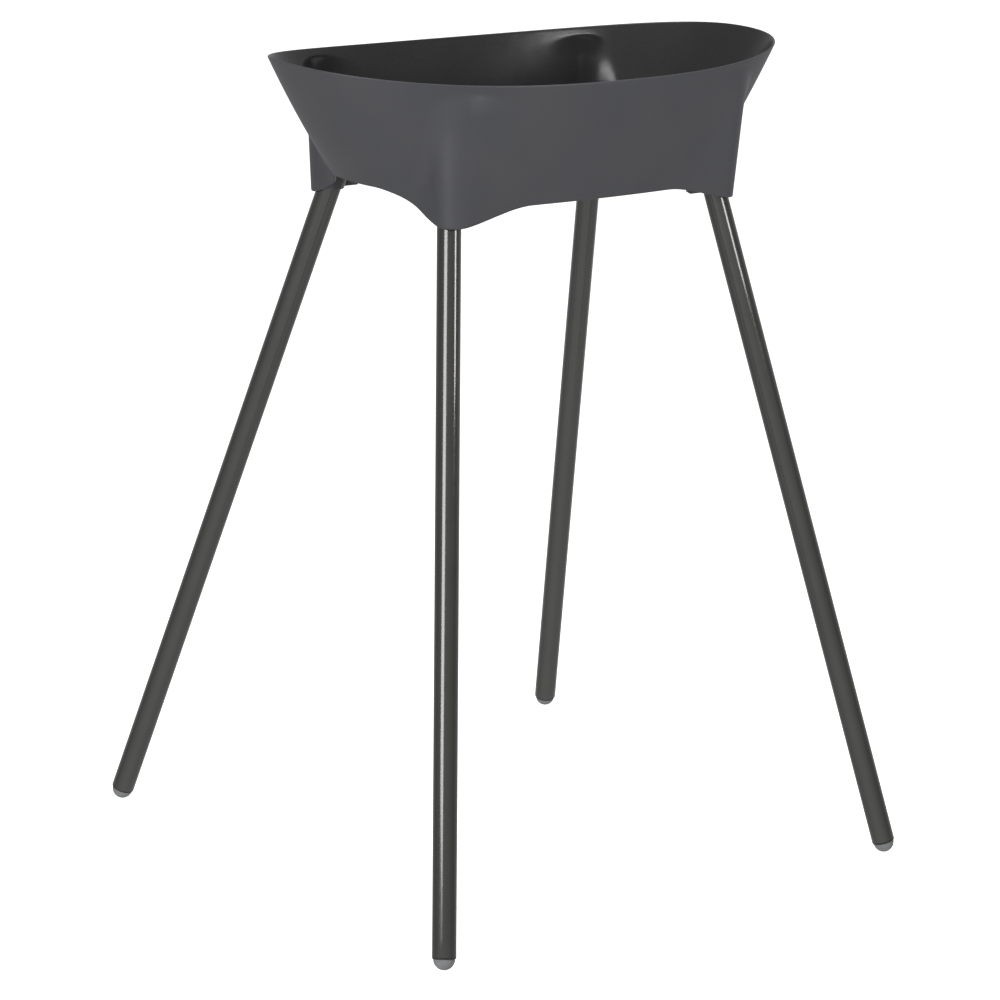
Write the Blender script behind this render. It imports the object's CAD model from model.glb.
import math

import bmesh
import bpy
import numpy as np
from mathutils import Matrix, Vector


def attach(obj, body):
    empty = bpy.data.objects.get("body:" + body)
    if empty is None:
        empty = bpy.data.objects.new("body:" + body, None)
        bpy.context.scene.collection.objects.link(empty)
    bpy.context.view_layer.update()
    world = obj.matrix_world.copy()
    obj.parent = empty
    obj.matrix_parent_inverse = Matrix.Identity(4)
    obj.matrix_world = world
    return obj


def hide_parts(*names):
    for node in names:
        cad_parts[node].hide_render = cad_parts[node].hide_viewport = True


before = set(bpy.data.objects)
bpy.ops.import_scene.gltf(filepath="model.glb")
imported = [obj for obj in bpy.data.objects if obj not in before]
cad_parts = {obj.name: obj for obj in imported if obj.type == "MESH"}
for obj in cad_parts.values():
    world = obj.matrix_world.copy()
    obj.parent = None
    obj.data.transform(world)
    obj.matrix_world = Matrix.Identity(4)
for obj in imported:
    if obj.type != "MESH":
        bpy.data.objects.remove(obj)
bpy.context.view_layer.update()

MM = 0.001

# ---- dimensions, the same as in the CAD source ---------------------------

RIM_HALF_LEN = 346 * MM
RIM_HALF_WID = 176 * MM
RIM_END_Z = 982.5 * MM
RIM_SIDE_Z = 966 * MM
RIM_END_DROP = 1.5 * MM
OVAL_POWER = 2.37
WALL = 2.8 * MM
END_FLARE = 0.5456
END_FLARE_GAIN = 0.68  # per metre
SIDE_FLARE = 0.2

COLUMN_Z = 800 * MM
COLUMN_X = 194.2 * MM
COLUMN_Y = 118.3 * MM
COLUMN_R = 26.8 * MM
COLUMN_LEAN = 0.041
COLUMN_GROW = 0.094
COLUMN_TOP = 958 * MM
COLUMN_DOME = 26 * MM
COLUMN_DOME_IN = 10 * MM
COLUMN_CLOSE = 3
CREASE_BLEND = 14 * MM

EDGE_LOW_Z = 803 * MM
END_ARCH = 35.5 * MM
END_ARCH_START = COLUMN_Y + 14.7 * MM
END_ARCH_RUN = 102 * MM
SIDE_ARCH = 20 * MM
SIDE_ARCH_START = COLUMN_X + COLUMN_R + 1 * MM
SIDE_ARCH_RUN = 120 * MM

FOOT_X = 343.5 * MM
FOOT_Y = 334.5 * MM
SLOPE_X = math.tan(math.radians(10.1))
SLOPE_Y = math.tan(math.radians(15.3))
SLOPE = math.hypot(SLOPE_X, SLOPE_Y)
LEG_HEADING = math.atan2(SLOPE_Y, SLOPE_X)
LEG_TILT = math.atan(SLOPE)
STRETCH = 1 / math.cos(LEG_TILT)
TUBE_R = 14 * MM
TUBE_INNER_R = 12.5 * MM
TUBE_END_Z = 14 * MM
MOUTH_Z = 808 * MM
SOCKET_DEPTH = 75 * MM
TUBE_TOP = (MOUTH_Z - TUBE_END_Z) * STRETCH + SOCKET_DEPTH - 6 * MM
PLUG_FLANGE = 2 * MM
SOCKET_END = TUBE_TOP + PLUG_FLANGE + 0.1 * MM
SOCKET_CAP = 3 * MM
SLEEVE_R = 17 * MM
BORE_R = 14.05 * MM
BUTTON_R = 3.9 * MM
BUTTON_AT = TUBE_TOP - 30 * MM
CUTTER_LEN = SLEEVE_R + 8 * MM
PAD_R = 12.6 * MM
PAD_FLAT = 0.6 * MM
CAP_LIP = 2 * MM
STEM_R = 4 * MM
STEM_LEN = 10 * MM
WEB_THICK = 3 * MM
CORNER_EDGE = 0.5 * MM

# heights above the side rim and the column's foot at which the plan is read
RIM_PROBE = 9 * MM
EDGE_PROBE = 12 * MM

# ---- fineness of the meshes -----------------------------------------------

AROUND = 96
TUBE_AROUND = 128
BUTTON_AROUND = 48
REACH_LOW = 0.08
REACH_HIGH = 0.42
REACH_HALVINGS = 30
WELD = 1e-7
SLIVER = 1e-8

CORNERS = {
    "front_left": (-1, -1),
    "front_right": (1, -1),
    "back_left": (-1, 1),
    "back_right": (1, 1),
}


# ---- camera ---------------------------------------------------------------

CAM_YAW = math.radians(-38.82)
CAM_PITCH = math.radians(15.49)
CAM_ROLL = math.radians(2.14)
CAM_DISTANCE = 4.5681
CAM_SIDE = -0.0141
CAM_TARGET_Z = 0.4209
CAM_LENS = 134.24
CAM_SENSOR = 36


def make_camera():
    back = Vector((
        math.sin(CAM_YAW) * math.cos(CAM_PITCH),
        -math.cos(CAM_YAW) * math.cos(CAM_PITCH),
        math.sin(CAM_PITCH)))
    right = Vector((math.cos(CAM_YAW), math.sin(CAM_YAW), 0))
    up = back.cross(right)
    c, s = math.cos(CAM_ROLL), math.sin(CAM_ROLL)
    x_axis = c * right + s * up
    y_axis = -s * right + c * up
    place = Vector((0, 0, CAM_TARGET_Z)) + CAM_DISTANCE * back + CAM_SIDE * right
    data = bpy.data.cameras.new("camera")
    data.lens = CAM_LENS
    data.sensor_width = CAM_SENSOR
    camera = bpy.data.objects.new("camera", data)
    bpy.context.scene.collection.objects.link(camera)
    turn = Matrix((x_axis, y_axis, back)).transposed().to_4x4()
    camera.matrix_world = Matrix.Translation(place) @ turn
    bpy.context.scene.camera = camera


# ---- materials --------------------------------------------------------------


class Shader:
    """A node material that starts as a principled shader reading object coordinates."""

    def __init__(self, name):
        self.material = bpy.data.materials.new(name)
        self.material.use_nodes = True
        self.tree = self.material.node_tree
        self.bsdf = self.tree.nodes["Principled BSDF"]
        self.coords = self.tree.nodes.new("ShaderNodeTexCoord").outputs["Object"]

    def set(self, **values):
        """Sets principled inputs, with underscores for the spaces in their names."""
        for name, value in values.items():
            self.bsdf.inputs[name.replace("_", " ")].default_value = value

    def link(self, out, target):
        self.tree.links.new(out, target)

    def noise(self, size, detail=3.0, roughness=0.5, stretch=(1, 1, 1)):
        """Noise whose features are about size metres across."""
        mapping = self.tree.nodes.new("ShaderNodeMapping")
        mapping.inputs["Scale"].default_value = stretch
        self.link(self.coords, mapping.inputs["Vector"])
        node = self.tree.nodes.new("ShaderNodeTexNoise")
        node.inputs["Scale"].default_value = 1 / size
        node.inputs["Detail"].default_value = detail
        node.inputs["Roughness"].default_value = roughness
        self.link(mapping.outputs["Vector"], node.inputs["Vector"])
        return node.outputs["Fac"]

    def cells(self, size):
        """Cells about size metres across, dark in their middles."""
        node = self.tree.nodes.new("ShaderNodeTexVoronoi")
        node.feature = "F1"
        node.inputs["Scale"].default_value = 1 / size
        self.link(self.coords, node.inputs["Vector"])
        return node.outputs["Distance"]

    def spread(self, fac, low, high, from_low=0.3, from_high=0.7):
        """Maps from_low..from_high to low..high, and holds the ends beyond."""
        node = self.tree.nodes.new("ShaderNodeMapRange")
        node.inputs["From Min"].default_value = from_low
        node.inputs["From Max"].default_value = from_high
        node.inputs["To Min"].default_value = low
        node.inputs["To Max"].default_value = high
        self.link(fac, node.inputs["Value"])
        return node.outputs["Result"]

    def mix(self, fac, first, second):
        """A colour between two, each a colour or another socket."""
        node = self.tree.nodes.new("ShaderNodeMix")
        node.data_type = "RGBA"
        self.link(fac, node.inputs["Factor"])
        for value, socket in ((first, node.inputs["A"]), (second, node.inputs["B"])):
            if isinstance(value, tuple):
                socket.default_value = (*value, 1)
            else:
                self.link(value, socket)
        return node.outputs["Result"]

    def add(self, first, second, gain):
        """First plus gain times second."""
        node = self.tree.nodes.new("ShaderNodeMath")
        node.operation = "MULTIPLY_ADD"
        node.inputs[1].default_value = gain
        self.link(second, node.inputs[0])
        self.link(first, node.inputs[2])
        return node.outputs["Value"]

    def worn_edges(self):
        """1 on sharp outer edges and 0 elsewhere."""
        geometry = self.tree.nodes.new("ShaderNodeNewGeometry")
        return self.spread(geometry.outputs["Pointiness"], 0, 1, 0.53, 0.62)

    def turned_out(self):
        """1 where the surface faces away from the object's Z axis and 0 where it faces it."""
        flat = self.tree.nodes.new("ShaderNodeVectorMath")
        flat.operation = "MULTIPLY"
        flat.inputs[1].default_value = (1, 1, 0)
        self.link(self.coords, flat.inputs[0])
        heading = self.tree.nodes.new("ShaderNodeVectorMath")
        heading.operation = "NORMALIZE"
        self.link(flat.outputs["Vector"], heading.inputs[0])
        geometry = self.tree.nodes.new("ShaderNodeNewGeometry")
        facing = self.tree.nodes.new("ShaderNodeVectorMath")
        facing.operation = "DOT_PRODUCT"
        self.link(heading.outputs["Vector"], facing.inputs[0])
        self.link(geometry.outputs["Normal"], facing.inputs[1])
        return self.spread(facing.outputs["Value"], 0, 1, -0.15, 0.15)

    def bump(self, height, depth, below=None):
        """A normal from height, depth metres deep, on top of the bump below it."""
        node = self.tree.nodes.new("ShaderNodeBump")
        node.inputs["Strength"].default_value = 1.0
        node.inputs["Distance"].default_value = depth
        self.link(height, node.inputs["Height"])
        if below is not None:
            self.link(below, node.inputs["Normal"])
        return node.outputs["Normal"]

    def finish(self, color, roughness, normal=None):
        self.link(color, self.bsdf.inputs["Base Color"])
        self.link(roughness, self.bsdf.inputs["Roughness"])
        if normal is not None:
            self.link(normal, self.bsdf.inputs["Normal"])
        return self.material


def collar_plastic():
    """Charcoal moulding: fine spark-eroded grain outside, smoother and darker inside."""
    s = Shader("collar_plastic")
    s.set(IOR=1.46)
    outside = s.turned_out()
    patches = s.spread(s.noise(0.09, 4), 0, 1)
    grained = s.mix(patches, (0.050, 0.051, 0.058), (0.058, 0.058, 0.064))
    polished = s.mix(patches, (0.018, 0.017, 0.018), (0.023, 0.022, 0.023))
    base = s.mix(outside, polished, grained)
    speckle = s.spread(s.noise(0.0007, 2), 0, 1)
    grainy = s.mix(s.spread(speckle, 0, 0.25, 0, 1), base, (0.068, 0.068, 0.074))
    worn = s.mix(s.worn_edges(), grainy, (0.085, 0.085, 0.090))
    sheen = s.add(s.spread(outside, 0.15, 0.38, 0, 1), s.noise(0.03, 3), 0.05)
    roughness = s.add(sheen, s.noise(0.0006, 1), 0.05)
    flow = s.bump(s.noise(0.035, 2), 0.00025)
    grain = s.bump(s.noise(0.00055, 2, 0.6), 0.00005, flow)
    return s.finish(worn, roughness, grain)


def leg_coat():
    """Dark grey powder coat: glossy, with orange peel."""
    s = Shader("leg_coat")
    s.set(IOR=1.5, Coat_Weight=0.8, Coat_IOR=1.6, Coat_Roughness=0.09)
    tone = s.spread(s.noise(0.05, 3), 0, 1)
    base = s.mix(tone, (0.017, 0.018, 0.015), (0.022, 0.022, 0.018))
    flecks = s.spread(s.cells(0.0012), 0.25, 0, 0.05, 0.35)
    dusted = s.mix(flecks, base, (0.040, 0.042, 0.037))
    roughness = s.spread(s.noise(0.012, 3), 0.17, 0.24)
    peel = s.bump(s.noise(0.0022, 2), 0.00003)
    fine = s.bump(s.noise(0.0006, 1), 0.000008, peel)
    return s.finish(dusted, roughness, fine)


def insert_plastic():
    """Near-black moulded plug plastic with faint flow marks."""
    s = Shader("insert_plastic")
    s.set(IOR=1.46)
    tone = s.spread(s.noise(0.006, 3), 0, 1)
    base = s.mix(tone, (0.018, 0.018, 0.018), (0.026, 0.026, 0.026))
    worn = s.mix(s.worn_edges(), base, (0.045, 0.045, 0.045))
    roughness = s.spread(s.noise(0.003, 3), 0.32, 0.45)
    return s.finish(worn, roughness, s.bump(s.noise(0.0008, 2), 0.00003))


def spring_steel():
    """Bare strip steel with drawn lines and a little heat tint."""
    s = Shader("spring_steel")
    s.set(Metallic=1.0, Anisotropic=0.4)
    lines = s.noise(0.0004, 2, 0.6, (1, 1, 0.04))
    tint = s.mix(s.spread(s.noise(0.008, 2), 0, 1), (0.46, 0.46, 0.47), (0.56, 0.54, 0.50))
    roughness = s.spread(lines, 0.22, 0.42)
    return s.finish(tint, roughness, s.bump(lines, 0.00001))


def foot_rubber():
    """Light grey rubber, matte, scuffed darker near the floor."""
    s = Shader("foot_rubber")
    s.set(IOR=1.45)
    tone = s.spread(s.noise(0.004, 4), 0, 1)
    base = s.mix(tone, (0.20, 0.205, 0.21), (0.25, 0.255, 0.26))
    height = s.tree.nodes.new("ShaderNodeSeparateXYZ")
    s.link(s.coords, height.inputs["Vector"])
    scuff = s.spread(s.add(height.outputs["Z"], s.noise(0.003, 3), 0.004), 1, 0, 0.0015, 0.006)
    scuffed = s.mix(scuff, base, (0.13, 0.13, 0.128))
    roughness = s.spread(s.noise(0.002, 3), 0.52, 0.68)
    return s.finish(scuffed, roughness, s.bump(s.noise(0.0005, 2), 0.00004))


MATERIALS = {
    "collar_plastic": collar_plastic(),
    "leg_coat": leg_coat(),
    "insert_plastic": insert_plastic(),
    "spring_steel": spring_steel(),
    "foot_rubber": foot_rubber(),
}


# ---- mesh tools -------------------------------------------------------------


def new_object(name, vertices, faces):
    mesh = bpy.data.meshes.new(name)
    mesh.from_pydata([tuple(v) for v in vertices], [], faces)
    mesh.validate()
    obj = bpy.data.objects.new(name, mesh)
    bpy.context.scene.collection.objects.link(obj)
    return obj


def outward(obj):
    """Makes the normals of a closed mesh point out."""
    bm = bmesh.new()
    bm.from_mesh(obj.data)
    bmesh.ops.recalc_face_normals(bm, faces=bm.faces)
    bm.to_mesh(obj.data)
    bm.free()


def weld(obj, slivers=False):
    """Merges points that coincide, and makes the normals point out."""
    bm = bmesh.new()
    bm.from_mesh(obj.data)
    bmesh.ops.remove_doubles(bm, verts=bm.verts, dist=WELD)
    if slivers:
        bmesh.ops.dissolve_degenerate(bm, edges=bm.edges, dist=SLIVER)
    bmesh.ops.recalc_face_normals(bm, faces=bm.faces)
    bm.to_mesh(obj.data)
    bm.free()


def smooth(obj, angle=35):
    """Shades smooth, with creases sharper than angle kept."""
    mesh = obj.data
    mesh.shade_smooth()
    mesh.set_sharp_from_angle(angle=math.radians(angle))


def apply_modifiers(obj):
    depsgraph = bpy.context.evaluated_depsgraph_get()
    mesh = bpy.data.meshes.new_from_object(obj.evaluated_get(depsgraph))
    old = obj.data
    obj.modifiers.clear()
    obj.data = mesh
    bpy.data.meshes.remove(old)


def combine(obj, others, operation):
    """Joins or cuts closed meshes, and removes the others."""
    for other in others:
        modifier = obj.modifiers.new(operation.lower(), "BOOLEAN")
        modifier.operation = operation
        modifier.solver = "MANIFOLD"
        modifier.object = other
    apply_modifiers(obj)
    for other in others:
        bpy.data.objects.remove(other)


def place_material(obj, slot):
    obj.data.materials.clear()
    obj.data.materials.append(MATERIALS[slot])


def ring_faces(rings, around, closed=False):
    """Quads between rings of points, each ring closed on itself."""
    faces = []
    for i in range(rings if closed else rings - 1):
        a = i * around
        b = ((i + 1) % rings) * around
        for j in range(around):
            k = (j + 1) % around
            faces.append((a + j, b + j, b + k, a + k))
    return faces


def side_faces(count):
    """Quads between two outlines of count points, the second after the first."""
    return [(i, (i + 1) % count, count + (i + 1) % count, count + i) for i in range(count)]


def lathe(name, profile, around=AROUND):
    """Turns a closed (radius, height) profile; a radius of 0 closes on the axis."""
    angles = np.linspace(0, 2 * math.pi, around, endpoint=False)
    vertices = []
    for r, h in profile:
        vertices += [(r * math.cos(a), r * math.sin(a), h) for a in angles]
    obj = new_object(name, vertices, ring_faces(len(profile), around, closed=True))
    weld(obj, slivers=True)
    return obj


def arc(centre, radius, start, end, steps):
    """Points of an arc, with angles in degrees."""
    turns = np.radians(np.linspace(start, end, steps + 1))
    return [(centre[0] + radius * math.cos(t), centre[1] + radius * math.sin(t)) for t in turns]


# ---- the collar's surface ---------------------------------------------------


def oval_gap(x, y, z):
    """About how far a point is outside the flared oval; below 0 it is inside."""
    drop = RIM_END_Z - z
    a = RIM_HALF_LEN - END_FLARE * drop - END_FLARE_GAIN * drop * drop
    b = RIM_HALF_WID - SIDE_FLARE * (RIM_SIDE_Z - z)
    n = OVAL_POWER
    q = (x / a) ** n + (y / b) ** n
    gx = (x / a) ** (n - 1) / a
    gy = (y / b) ** (n - 1) / b
    return (q ** (1 / n) - 1) / (q ** (1 / n - 1) * np.hypot(gx, gy))


def column_gap(x, y, z):
    """How far a point is outside the corner column, which closes in a dome."""
    h = z - COLUMN_Z
    dx = x - COLUMN_X
    dy = y - COLUMN_Y + COLUMN_LEAN * h
    outside = np.hypot(np.maximum(dx, 0), np.maximum(dy, 0))
    gap = outside + np.minimum(np.maximum(dx, dy), 0) - COLUMN_R - COLUMN_GROW * h
    t = np.clip((z - COLUMN_TOP + COLUMN_DOME) / COLUMN_DOME, 0, 1)
    dome = COLUMN_DOME_IN * (1 - np.sqrt(1 - t * t))
    return gap + dome + COLUMN_CLOSE * np.maximum(z - COLUMN_TOP, 0)


def collar_gap(x, y, z):
    """The oval and the column as one, blended where they meet."""
    p = oval_gap(x, y, z)
    q = column_gap(x, y, z)
    h = np.maximum(CREASE_BLEND - np.abs(p - q), 0) / CREASE_BLEND
    return np.minimum(p, q) - h * h * CREASE_BLEND / 4


def reach(heading, z, inset):
    """How far the surface is from the Z axis along each heading, found by halving."""
    z = np.broadcast_to(z, heading.shape)
    low = np.full(heading.shape, REACH_LOW)
    high = np.full(heading.shape, REACH_HIGH)
    c, s = np.cos(heading), np.sin(heading)
    for _ in range(REACH_HALVINGS):
        m = (low + high) / 2
        outside = collar_gap(m * c, m * s, z) + inset > 0
        high = np.where(outside, m, high)
        low = np.where(outside, low, m)
    return (low + high) / 2


def eased(t):
    """0 up to 0, 1 from 1 on, and a smooth step between."""
    u = np.clip(t, 0, 1)
    return u * u * (3 - 2 * u)


def rim_height(heading):
    """Height of the rim, highest near the oval's ends."""
    r = reach(heading, RIM_SIDE_Z + RIM_PROBE, 0)
    x = r * np.cos(heading) / RIM_HALF_LEN
    y = r * np.sin(heading) / RIM_HALF_WID
    peak = RIM_END_Z + RIM_END_DROP
    return peak - RIM_END_DROP * x * x - (peak - RIM_SIDE_Z) * y * y


def edge_height(heading):
    """Height of the lower edge, which arches up between the columns."""
    r = reach(heading, COLUMN_Z + EDGE_PROBE, 0)
    end_rise = END_ARCH * eased((END_ARCH_START - r * np.sin(heading)) / END_ARCH_RUN)
    side_rise = SIDE_ARCH * eased((SIDE_ARCH_START - r * np.cos(heading)) / SIDE_ARCH_RUN)
    return EDGE_LOW_Z + end_rise + side_rise


def quarter_headings(side_steps, arc_steps, long_steps, crowding=1.5):
    """Headings of one quarter, packed closely round the column."""
    s = np.arange(side_steps) / side_steps
    y = COLUMN_Y * (1 - (1 - s) ** crowding)
    side = np.arctan2(y, COLUMN_X + COLUMN_R)
    a = math.pi / 2 * np.arange(arc_steps) / arc_steps
    corner = np.arctan2(COLUMN_Y + COLUMN_R * np.sin(a), COLUMN_X + COLUMN_R * np.cos(a))
    t = np.arange(long_steps + 1) / long_steps
    x = COLUMN_X * (1 - t) ** crowding
    long_side = np.arctan2(COLUMN_Y + COLUMN_R, x)
    return np.concatenate([side, corner, long_side])


def collar_shell():
    """The moulding without its sockets, as rings round the wall's section."""
    quarter = quarter_headings(side_steps=44, arc_steps=40, long_steps=44)
    top = rim_height(quarter)
    low = edge_height(quarter)
    lip = WALL / 2
    levels = 56
    lip_steps = 8
    # height and inset of each ring: up the outside, over the rim, down the inside, round the edge
    stations = []
    for share in np.linspace(0, 1, levels + 1):
        stations.append((low + lip + (top - low - 2 * lip) * share, 0))
    for turn in np.linspace(0, math.pi, lip_steps + 1)[1:-1]:
        stations.append((top - lip + lip * math.sin(turn), lip * (1 - math.cos(turn))))
    for share in np.linspace(1, 0, levels + 1):
        stations.append((low + lip + (top - low - 2 * lip) * share, WALL))
    for turn in np.linspace(math.pi, 0, lip_steps + 1)[1:-1]:
        stations.append((low + lip - lip * math.sin(turn), lip * (1 - math.cos(turn))))
    vertices = []
    for z, inset in stations:
        r = reach(quarter, z, inset)
        x, y = r * np.cos(quarter), r * np.sin(quarter)
        flip = slice(None, 0, -1)
        xs = np.concatenate([x[:-1], -x[flip], -x[:-1], x[flip]])
        ys = np.concatenate([y[:-1], y[flip], -y[:-1], -y[flip]])
        zs = np.concatenate([z[:-1], z[flip], z[:-1], z[flip]])
        vertices.append(np.stack([xs, ys, zs], axis=1))
    around = len(vertices[0])
    faces = ring_faces(len(stations), around, closed=True)
    obj = new_object("collar_moulding", np.concatenate(vertices), faces)
    outward(obj)
    return obj


# ---- places on the legs -----------------------------------------------------


def leg_matrix(sx, sy):
    """Takes the leg frame, Z up along the leg and X outward, to the corner with these signs."""
    place = Matrix.Translation((FOOT_X, FOOT_Y, TUBE_END_Z))
    turn = Matrix.Rotation(LEG_HEADING, 4, "Z") @ Matrix.Rotation(-LEG_TILT, 4, "Y")
    return Matrix.Diagonal((sx, sy, 1, 1)) @ place @ turn


def to_corner(obj, sx, sy):
    """Moves a mesh from the leg frame to its corner, mirrored where that needs it."""
    obj.data.transform(leg_matrix(sx, sy))
    if sx * sy < 0:
        obj.data.flip_normals()


def sleeve(name):
    """Socket: a cup in the leg frame, open downward, cut level at the mouth."""
    fillet = 2.5 * MM
    shoulder = 30 * MM
    lead = 0.8 * MM
    top = SOCKET_END + SOCKET_CAP
    angles = np.linspace(0, 2 * math.pi, AROUND, endpoint=False)

    def mouth(r):
        return ((MOUTH_Z - TUBE_END_Z) - r * np.cos(angles) * math.sin(LEG_TILT)) * STRETCH

    rings = [
        (BORE_R + lead, mouth(BORE_R + lead)),
        (SLEEVE_R - lead / 2, mouth(SLEEVE_R - lead / 2)),
        (SLEEVE_R, mouth(SLEEVE_R) + lead / 2),
        (SLEEVE_R, np.full(AROUND, top - shoulder)),
    ]
    for r, h in arc((SLEEVE_R - fillet, top - fillet), fillet, 0, 90, 6):
        rings.append((r, np.full(AROUND, h)))
    rings.append((0, np.full(AROUND, top)))
    rings.append((0, np.full(AROUND, SOCKET_END)))
    rings.append((BORE_R, np.full(AROUND, SOCKET_END)))
    rings.append((BORE_R, mouth(BORE_R) + lead))
    vertices = []
    for r, h in rings:
        vertices += [(r * math.cos(a), r * math.sin(a), z) for a, z in zip(angles, h)]
    obj = new_object(name, vertices, ring_faces(len(rings), AROUND, closed=True))
    weld(obj)
    return obj


def gusset(name):
    """Upright web from the socket to the column's wall, in the leg frame."""
    foot = 810 * MM
    below_stop = 6 * MM
    into_wall = 0.7 * WALL
    into_sleeve = 1.5 * MM
    top = TUBE_END_Z + (SOCKET_END - below_stop) / STRETCH
    reach_out = ((COLUMN_X - FOOT_X) * math.cos(LEG_HEADING)
                 + (COLUMN_Y - FOOT_Y) * math.sin(LEG_HEADING)
                 + COLUMN_R - into_wall)
    lean = COLUMN_GROW - COLUMN_LEAN * math.sin(LEG_HEADING)
    inside = (BORE_R + into_sleeve) * STRETCH
    outline = [
        (inside - (foot - TUBE_END_Z) * SLOPE, foot),
        (reach_out + lean * (foot - COLUMN_Z), foot),
        (reach_out + lean * (top - COLUMN_Z), top),
        (inside - (top - TUBE_END_Z) * SLOPE, top),
    ]
    vertices = [
        (s, side * WEB_THICK / 2, z - TUBE_END_Z)
        for side in (-1, 1) for s, z in outline]
    faces = [(3, 2, 1, 0), (4, 5, 6, 7)]
    faces += side_faces(4)
    obj = new_object(name, vertices, faces)
    obj.data.transform(Matrix.Rotation(LEG_TILT, 4, "Y"))
    outward(obj)
    return obj


def rib(name):
    """Upright rib from the socket along the collar, in the leg frame."""
    end_x = 157 * MM
    rise = 44 * MM
    sleeve_x = FOOT_X - (MOUTH_Z - TUBE_END_Z) * SLOPE_X
    sleeve_y = FOOT_Y - (MOUTH_Z - TUBE_END_Z) * SLOPE_Y
    # the side inside the socket stays within its wall
    outline = [
        (sleeve_x - 15.8 * MM, 0),
        (end_x + 5 * MM, 0),
        (end_x, 3 * MM),
        (end_x, 10 * MM),
        (sleeve_x - 17.6 * MM, rise - 1 * MM),
        (sleeve_x - 18 * MM, rise / 2),
    ]
    vertices = [
        (x, sleeve_y + side * WEB_THICK / 2, MOUTH_Z + h)
        for side in (-1, 1) for x, h in outline]
    count = len(outline)
    faces = [tuple(range(count)), tuple(reversed(range(count, 2 * count)))]
    faces += side_faces(count)
    obj = new_object(name, vertices, faces)
    obj.data.transform(leg_matrix(1, 1).inverted())
    outward(obj)
    return obj


def button_cutter(name, radius):
    """Round cutter that points inward from the leg's centre line at the snap button."""
    profile = [(0, 0), (radius, 0), (radius, CUTTER_LEN), (0, CUTTER_LEN)]
    obj = lathe(name, profile, BUTTON_AROUND)
    place = Matrix.Translation((0, 0, BUTTON_AT))
    obj.data.transform(place @ Matrix.Rotation(-math.pi / 2, 4, "Y"))
    outward(obj)
    return obj


def make_collar():
    hole_gap = 0.2 * MM
    shell = collar_shell()
    extras = []
    for corner, (sx, sy) in CORNERS.items():
        for build in (sleeve, gusset, rib):
            piece = build(f"{corner}_{build.__name__}")
            to_corner(piece, sx, sy)
            extras.append(piece)
    combine(shell, extras, "UNION")
    cutters = []
    for corner, (sx, sy) in CORNERS.items():
        cutter = button_cutter(corner + "_cut", BUTTON_R + hole_gap)
        to_corner(cutter, sx, sy)
        cutters.append(cutter)
    combine(shell, cutters, "DIFFERENCE")
    smooth(shell, 38)
    place_material(shell, "collar_plastic")
    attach(shell, "collar")
    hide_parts("collar")


def make_tube(corner):
    edge = CORNER_EDGE
    first_ring = 20 * MM
    ring_count = 12
    hole_gap = 0.1 * MM
    # rings stay clear of the button hole by this much
    clear = 12 * MM
    profile = arc((TUBE_R - edge, edge), edge, -90, 0, 4)
    profile += [(TUBE_R, h) for h in np.linspace(first_ring, BUTTON_AT - clear, ring_count)]
    profile += [(TUBE_R, BUTTON_AT + clear)]
    profile += arc((TUBE_R - edge, TUBE_TOP - edge), edge, 0, 90, 4)
    profile += [(TUBE_INNER_R, TUBE_TOP), (TUBE_INNER_R, BUTTON_AT + clear)]
    profile += [(TUBE_INNER_R, BUTTON_AT - clear), (TUBE_INNER_R, 0)]
    tube = lathe(corner + "_leg_tube", profile, TUBE_AROUND)
    cutter = button_cutter(corner + "_cut", BUTTON_R + hole_gap)
    combine(tube, [cutter], "DIFFERENCE")
    smooth(tube, 50)
    return tube


def make_top_plug(corner):
    edge = CORNER_EDGE
    spigot = 14 * MM
    skin = 2 * MM
    outer = TUBE_R - 0.1 * MM
    grip = 0.25 * MM
    profile = [(0, PLUG_FLANGE)]
    profile += arc((outer - edge, PLUG_FLANGE - edge), edge, 90, 0, 4)
    profile += [(outer, 0.0), (TUBE_INNER_R, 0)]
    # grip rings on the spigot
    for k in range(4):
        h = -2.5 * MM - k * 3 * MM
        profile.append((TUBE_INNER_R, h))
        profile.append((TUBE_INNER_R - grip, h - 0.6 * MM))
        profile.append((TUBE_INNER_R - grip, h - 1.4 * MM))
    profile += [(TUBE_INNER_R - 0.8 * MM, -spigot), (TUBE_INNER_R - skin, -spigot)]
    profile += [(TUBE_INNER_R - skin, 0), (0, 0)]
    plug = lathe(corner + "_tube_plug", profile)
    plug.data.transform(Matrix.Translation((0, 0, TUBE_TOP)))
    smooth(plug)
    return plug


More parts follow.
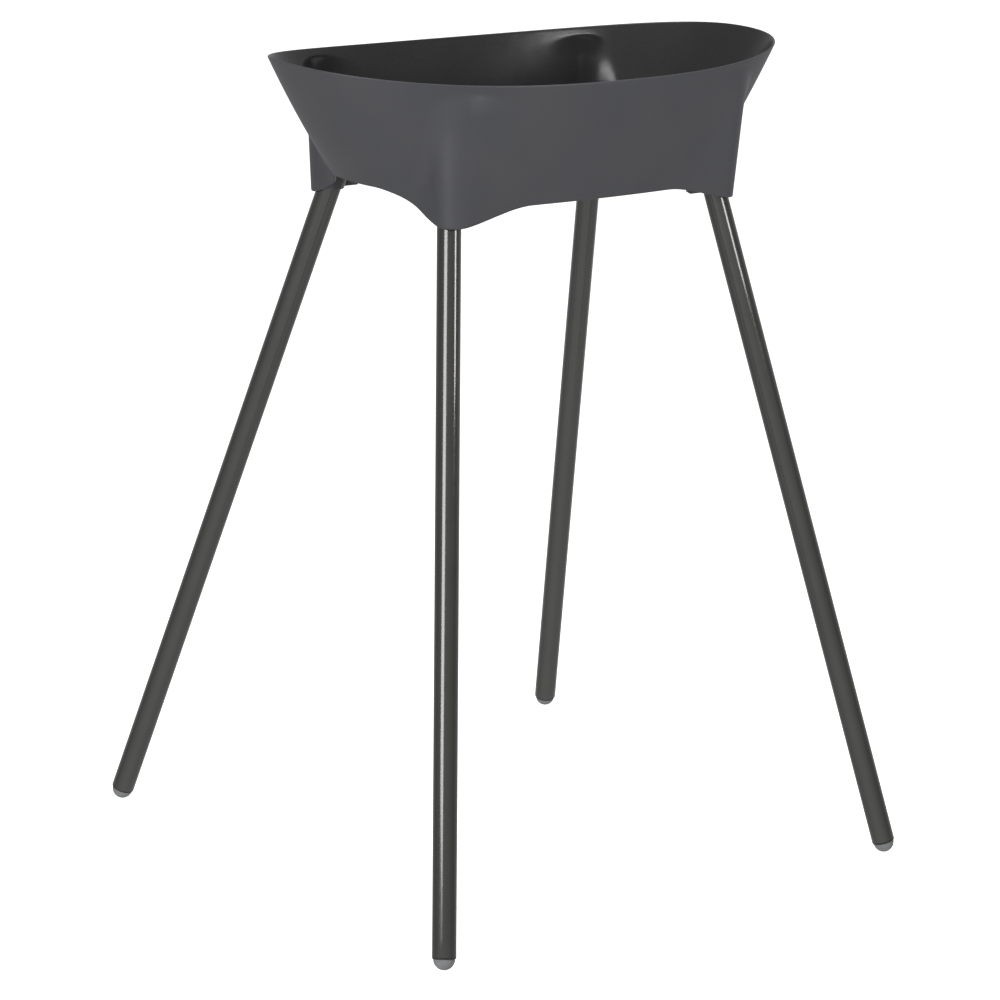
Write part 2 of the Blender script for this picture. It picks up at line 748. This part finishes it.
def make_snap_clip(corner):
    strip = 0.8 * MM
    width = 8 * MM
    bend_r = 3 * MM
    drop = 34 * MM
    rise = 8 * MM
    leaf_low = -5 * MM
    lean_out = math.sqrt(TUBE_INNER_R ** 2 - (width / 2) ** 2) - 0.15 * MM
    middle = strip / 2
    # centre line: up one leaf's outside, round the bend and up the other
    path = [(-lean_out + middle, rise), (-lean_out + middle, leaf_low)]
    path += arc((0, -drop), bend_r - middle, 180, 360, 16)
    path += [(lean_out - middle, leaf_low), (lean_out - middle, rise)]
    points = np.array(path)
    along = np.gradient(points, axis=0)
    along /= np.linalg.norm(along, axis=1)[:, None]
    across = np.stack([-along[:, 1], along[:, 0]], axis=1)
    loop = np.concatenate([points + across * middle, (points - across * middle)[::-1]])
    count = len(loop)
    vertices = [(x, side * width / 2, h) for side in (-1, 1) for x, h in loop]
    half = count // 2
    faces = [(i, i + 1, count - 2 - i, count - 1 - i) for i in range(half - 1)]
    faces += [tuple(count + i for i in face[::-1]) for face in faces]
    faces += side_faces(count)
    clip = new_object(corner + "_button_spring", vertices, faces)
    outward(clip)
    dome = 1.2 * MM
    tip = SLEEVE_R + 0.6 * MM
    profile = [(0, lean_out - middle), (BUTTON_R, lean_out - middle)]
    profile += arc((BUTTON_R - dome, tip - dome), dome, 0, 90, 6)
    profile += [(0, tip)]
    button = lathe(corner + "_button", profile, BUTTON_AROUND)
    button.data.transform(Matrix.Rotation(-math.pi / 2, 4, "Y"))
    outward(button)
    combine(clip, [button], "UNION")
    clip.data.transform(Matrix.Translation((0, 0, BUTTON_AT)))
    smooth(clip)
    return clip


def make_foot_cap(corner):
    spigot = 18 * MM
    seat_r = PAD_R + 0.1 * MM
    round_r = TUBE_R - 0.05 * MM - seat_r
    profile = [(STEM_R, -CAP_LIP), (seat_r, -CAP_LIP)]
    for t in np.linspace(10, 90, 8):
        a = math.radians(t)
        profile.append((seat_r + round_r * math.sin(a), -CAP_LIP * math.cos(a)))
    profile += [(TUBE_INNER_R, 0), (TUBE_INNER_R, spigot - 1 * MM), (TUBE_INNER_R - 1 * MM, spigot)]
    profile += [(0, spigot), (0, STEM_LEN - CAP_LIP), (STEM_R, STEM_LEN - CAP_LIP)]
    cap = lathe(corner + "_foot_ferrule", profile)
    smooth(cap)
    return cap


def make_foot_pad(corner):
    ball = -(TUBE_END_Z - PAD_R + PAD_FLAT) * STRETCH
    stem_gap = 1 * MM
    chamfer = 0.5 * MM
    stem_top = STEM_LEN - CAP_LIP - stem_gap
    seam = 0.35 * MM
    start = math.degrees(math.asin((-CAP_LIP - seam - ball) / PAD_R))
    profile = [(0, stem_top), (STEM_R - chamfer, stem_top), (STEM_R, stem_top - chamfer)]
    profile += [(STEM_R, -CAP_LIP), (PAD_R - seam, -CAP_LIP)]
    profile += arc((0, ball), PAD_R, start, -89.9, 28)
    profile += [(0, ball - PAD_R)]
    pad = lathe(corner + "_rubber_foot", profile)
    # cut level where it stands on the floor
    pad.data.transform(leg_matrix(1, 1))
    bm = bmesh.new()
    bm.from_mesh(pad.data)
    geometry = bm.verts[:] + bm.edges[:] + bm.faces[:]
    cut = bmesh.ops.bisect_plane(
        bm, geom=geometry, plane_co=(0, 0, 0), plane_no=(0, 0, -1), clear_outer=True)
    edges = [e for e in cut["geom_cut"] if isinstance(e, bmesh.types.BMEdge)]
    bmesh.ops.holes_fill(bm, edges=edges, sides=0)
    bmesh.ops.recalc_face_normals(bm, faces=bm.faces)
    bm.to_mesh(pad.data)
    bm.free()
    pad.data.transform(leg_matrix(1, 1).inverted())
    smooth(pad, 25)
    return pad


PIECES = {
    "tube": (make_tube, "leg_coat"),
    "top_plug": (make_top_plug, "insert_plastic"),
    "snap_clip": (make_snap_clip, "spring_steel"),
    "foot_cap": (make_foot_cap, "insert_plastic"),
    "foot_pad": (make_foot_pad, "foot_rubber"),
}


def make_legs():
    for corner, (sx, sy) in CORNERS.items():
        for piece, (build, slot) in PIECES.items():
            obj = build(corner)
            to_corner(obj, sx, sy)
            place_material(obj, slot)
            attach(obj, corner + "_leg")
            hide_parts(f"{corner}_{piece}")


# ---- studio -------------------------------------------------------------------


def make_floor():
    half = 30
    corners = [(-half, -half, 0), (half, -half, 0), (half, half, 0), (-half, half, 0)]
    floor = new_object("floor", corners, [(0, 1, 2, 3)])
    s = Shader("floor_paint")
    s.set(Specular_IOR_Level=0.1, Emission_Color=(1, 1, 1, 1), Emission_Strength=0.95)
    tone = s.spread(s.noise(1.5, 2), 0, 1)
    color = s.mix(tone, (0.88, 0.88, 0.88), (0.90, 0.90, 0.90))
    floor.data.materials.append(s.finish(color, s.spread(s.noise(0.4, 2), 0.75, 0.85)))
    # the stand is lit and mirrored by the studio alone, in place of the floor
    floor.visible_diffuse = False
    floor.visible_glossy = False
    floor.visible_shadow = False


def softbox(name, place, target, width, height, power):
    data = bpy.data.lights.new(name, "AREA")
    data.shape = "RECTANGLE"
    data.size = width
    data.size_y = height
    data.energy = power
    obj = bpy.data.objects.new(name, data)
    obj.location = place
    obj.rotation_euler = (Vector(target) - Vector(place)).to_track_quat("-Z", "Y").to_euler()
    bpy.context.scene.collection.objects.link(obj)


def make_studio():
    world = bpy.data.worlds.new("studio")
    world.use_nodes = True
    bpy.context.scene.world = world
    tree = world.node_tree
    background = tree.nodes["Background"]
    coords = tree.nodes.new("ShaderNodeTexCoord")
    # broad glows low in front, to the left and to the right behind, over a dim surround
    surround = 0.075
    glows = (
        ((-0.50, -0.65, -0.57), 0.53),
        ((-0.94, 0.15, -0.30), 0.08),
        ((0.75, 0.55, -0.38), 0.24),
    )
    total = None
    for heading, glow in glows:
        facing = tree.nodes.new("ShaderNodeVectorMath")
        facing.operation = "DOT_PRODUCT"
        facing.inputs[1].default_value = heading
        tree.links.new(coords.outputs["Generated"], facing.inputs[0])
        ramp = tree.nodes.new("ShaderNodeMapRange")
        ramp.inputs["To Min"].default_value = surround
        ramp.inputs["To Max"].default_value = surround + glow
        tree.links.new(facing.outputs["Value"], ramp.inputs["Value"])
        if total is None:
            total = ramp.outputs["Result"]
        else:
            add = tree.nodes.new("ShaderNodeMath")
            add.operation = "ADD"
            tree.links.new(total, add.inputs[0])
            tree.links.new(ramp.outputs["Result"], add.inputs[1])
            total = add.outputs["Value"]
    tree.links.new(total, background.inputs["Strength"])
    background.inputs["Color"].default_value = (1.0, 1.0, 1.0, 1)
    softbox("left_strip", place=(-2.62, -1.01, 1.45), target=(-0.25, -0.2, 0.6),
            width=1.25, height=1.7, power=44)
    softbox("right_strip", place=(0.36, -1.10, 1.12), target=(-0.1, -0.12, 0.75),
            width=0.26, height=0.52, power=3.8)
    softbox("top_box", place=(0.3, -0.3, 3.2), target=(0, 0, 0.8),
            width=2.0, height=2.0, power=30)


make_camera()
make_collar()
make_legs()
make_floor()
make_studio()
view = bpy.context.scene.view_settings
view.view_transform = "Standard"
